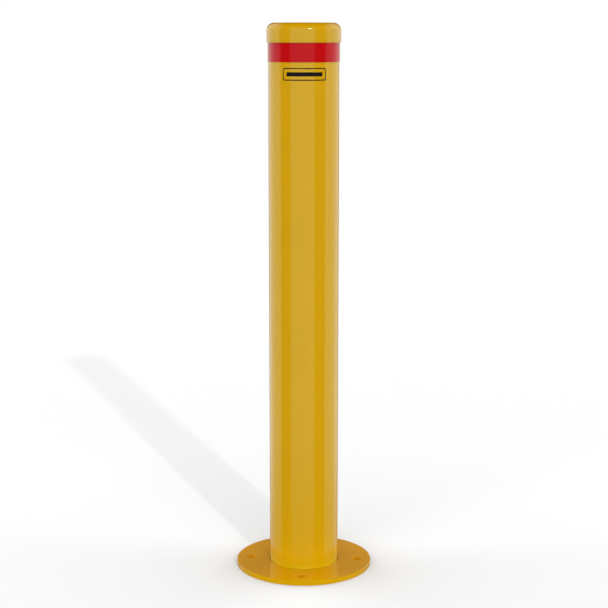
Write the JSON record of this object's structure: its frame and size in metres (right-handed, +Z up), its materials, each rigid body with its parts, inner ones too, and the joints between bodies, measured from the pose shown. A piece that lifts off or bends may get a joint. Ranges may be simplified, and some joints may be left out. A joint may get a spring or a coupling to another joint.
{
  "type": "safety bollard",
  "caption": "Round steel post on a bolt-down flange, with a push-on cap, a reflective band and a blank label, to protect people and plant from vehicles.",
  "frame": {"origin": "centre of the base plate's underside, on the ground and on the post's axis", "axes": "+Z up along the post; the anchor holes lie on +X, +Y, -X and -Y; the label and the picture's front face about -Y"},
  "size_m": [0.275, 0.275, 1.1015],
  "materials": {
    "plate_paint": "satin",
    "post_paint": "gloss",
    "cap_plastic": "gloss",
    "reflective_tape": "gloss",
    "label_vinyl": "satin"
  },
  "bodies": {
    "post": {"base_plate": "plate_paint", "post_tube": "post_paint", "base_weld": "plate_paint", "reflective_band": "reflective_tape", "maker_label": "label_vinyl"},
    "cap": {"cap": "cap_plastic"}
  },
  "joints": [
    {"name": "cap_lift", "type": "slide", "parent": "post", "child": "cap", "axis": [0, 0, 1], "range_m": [0, 0.06]}
  ]
}
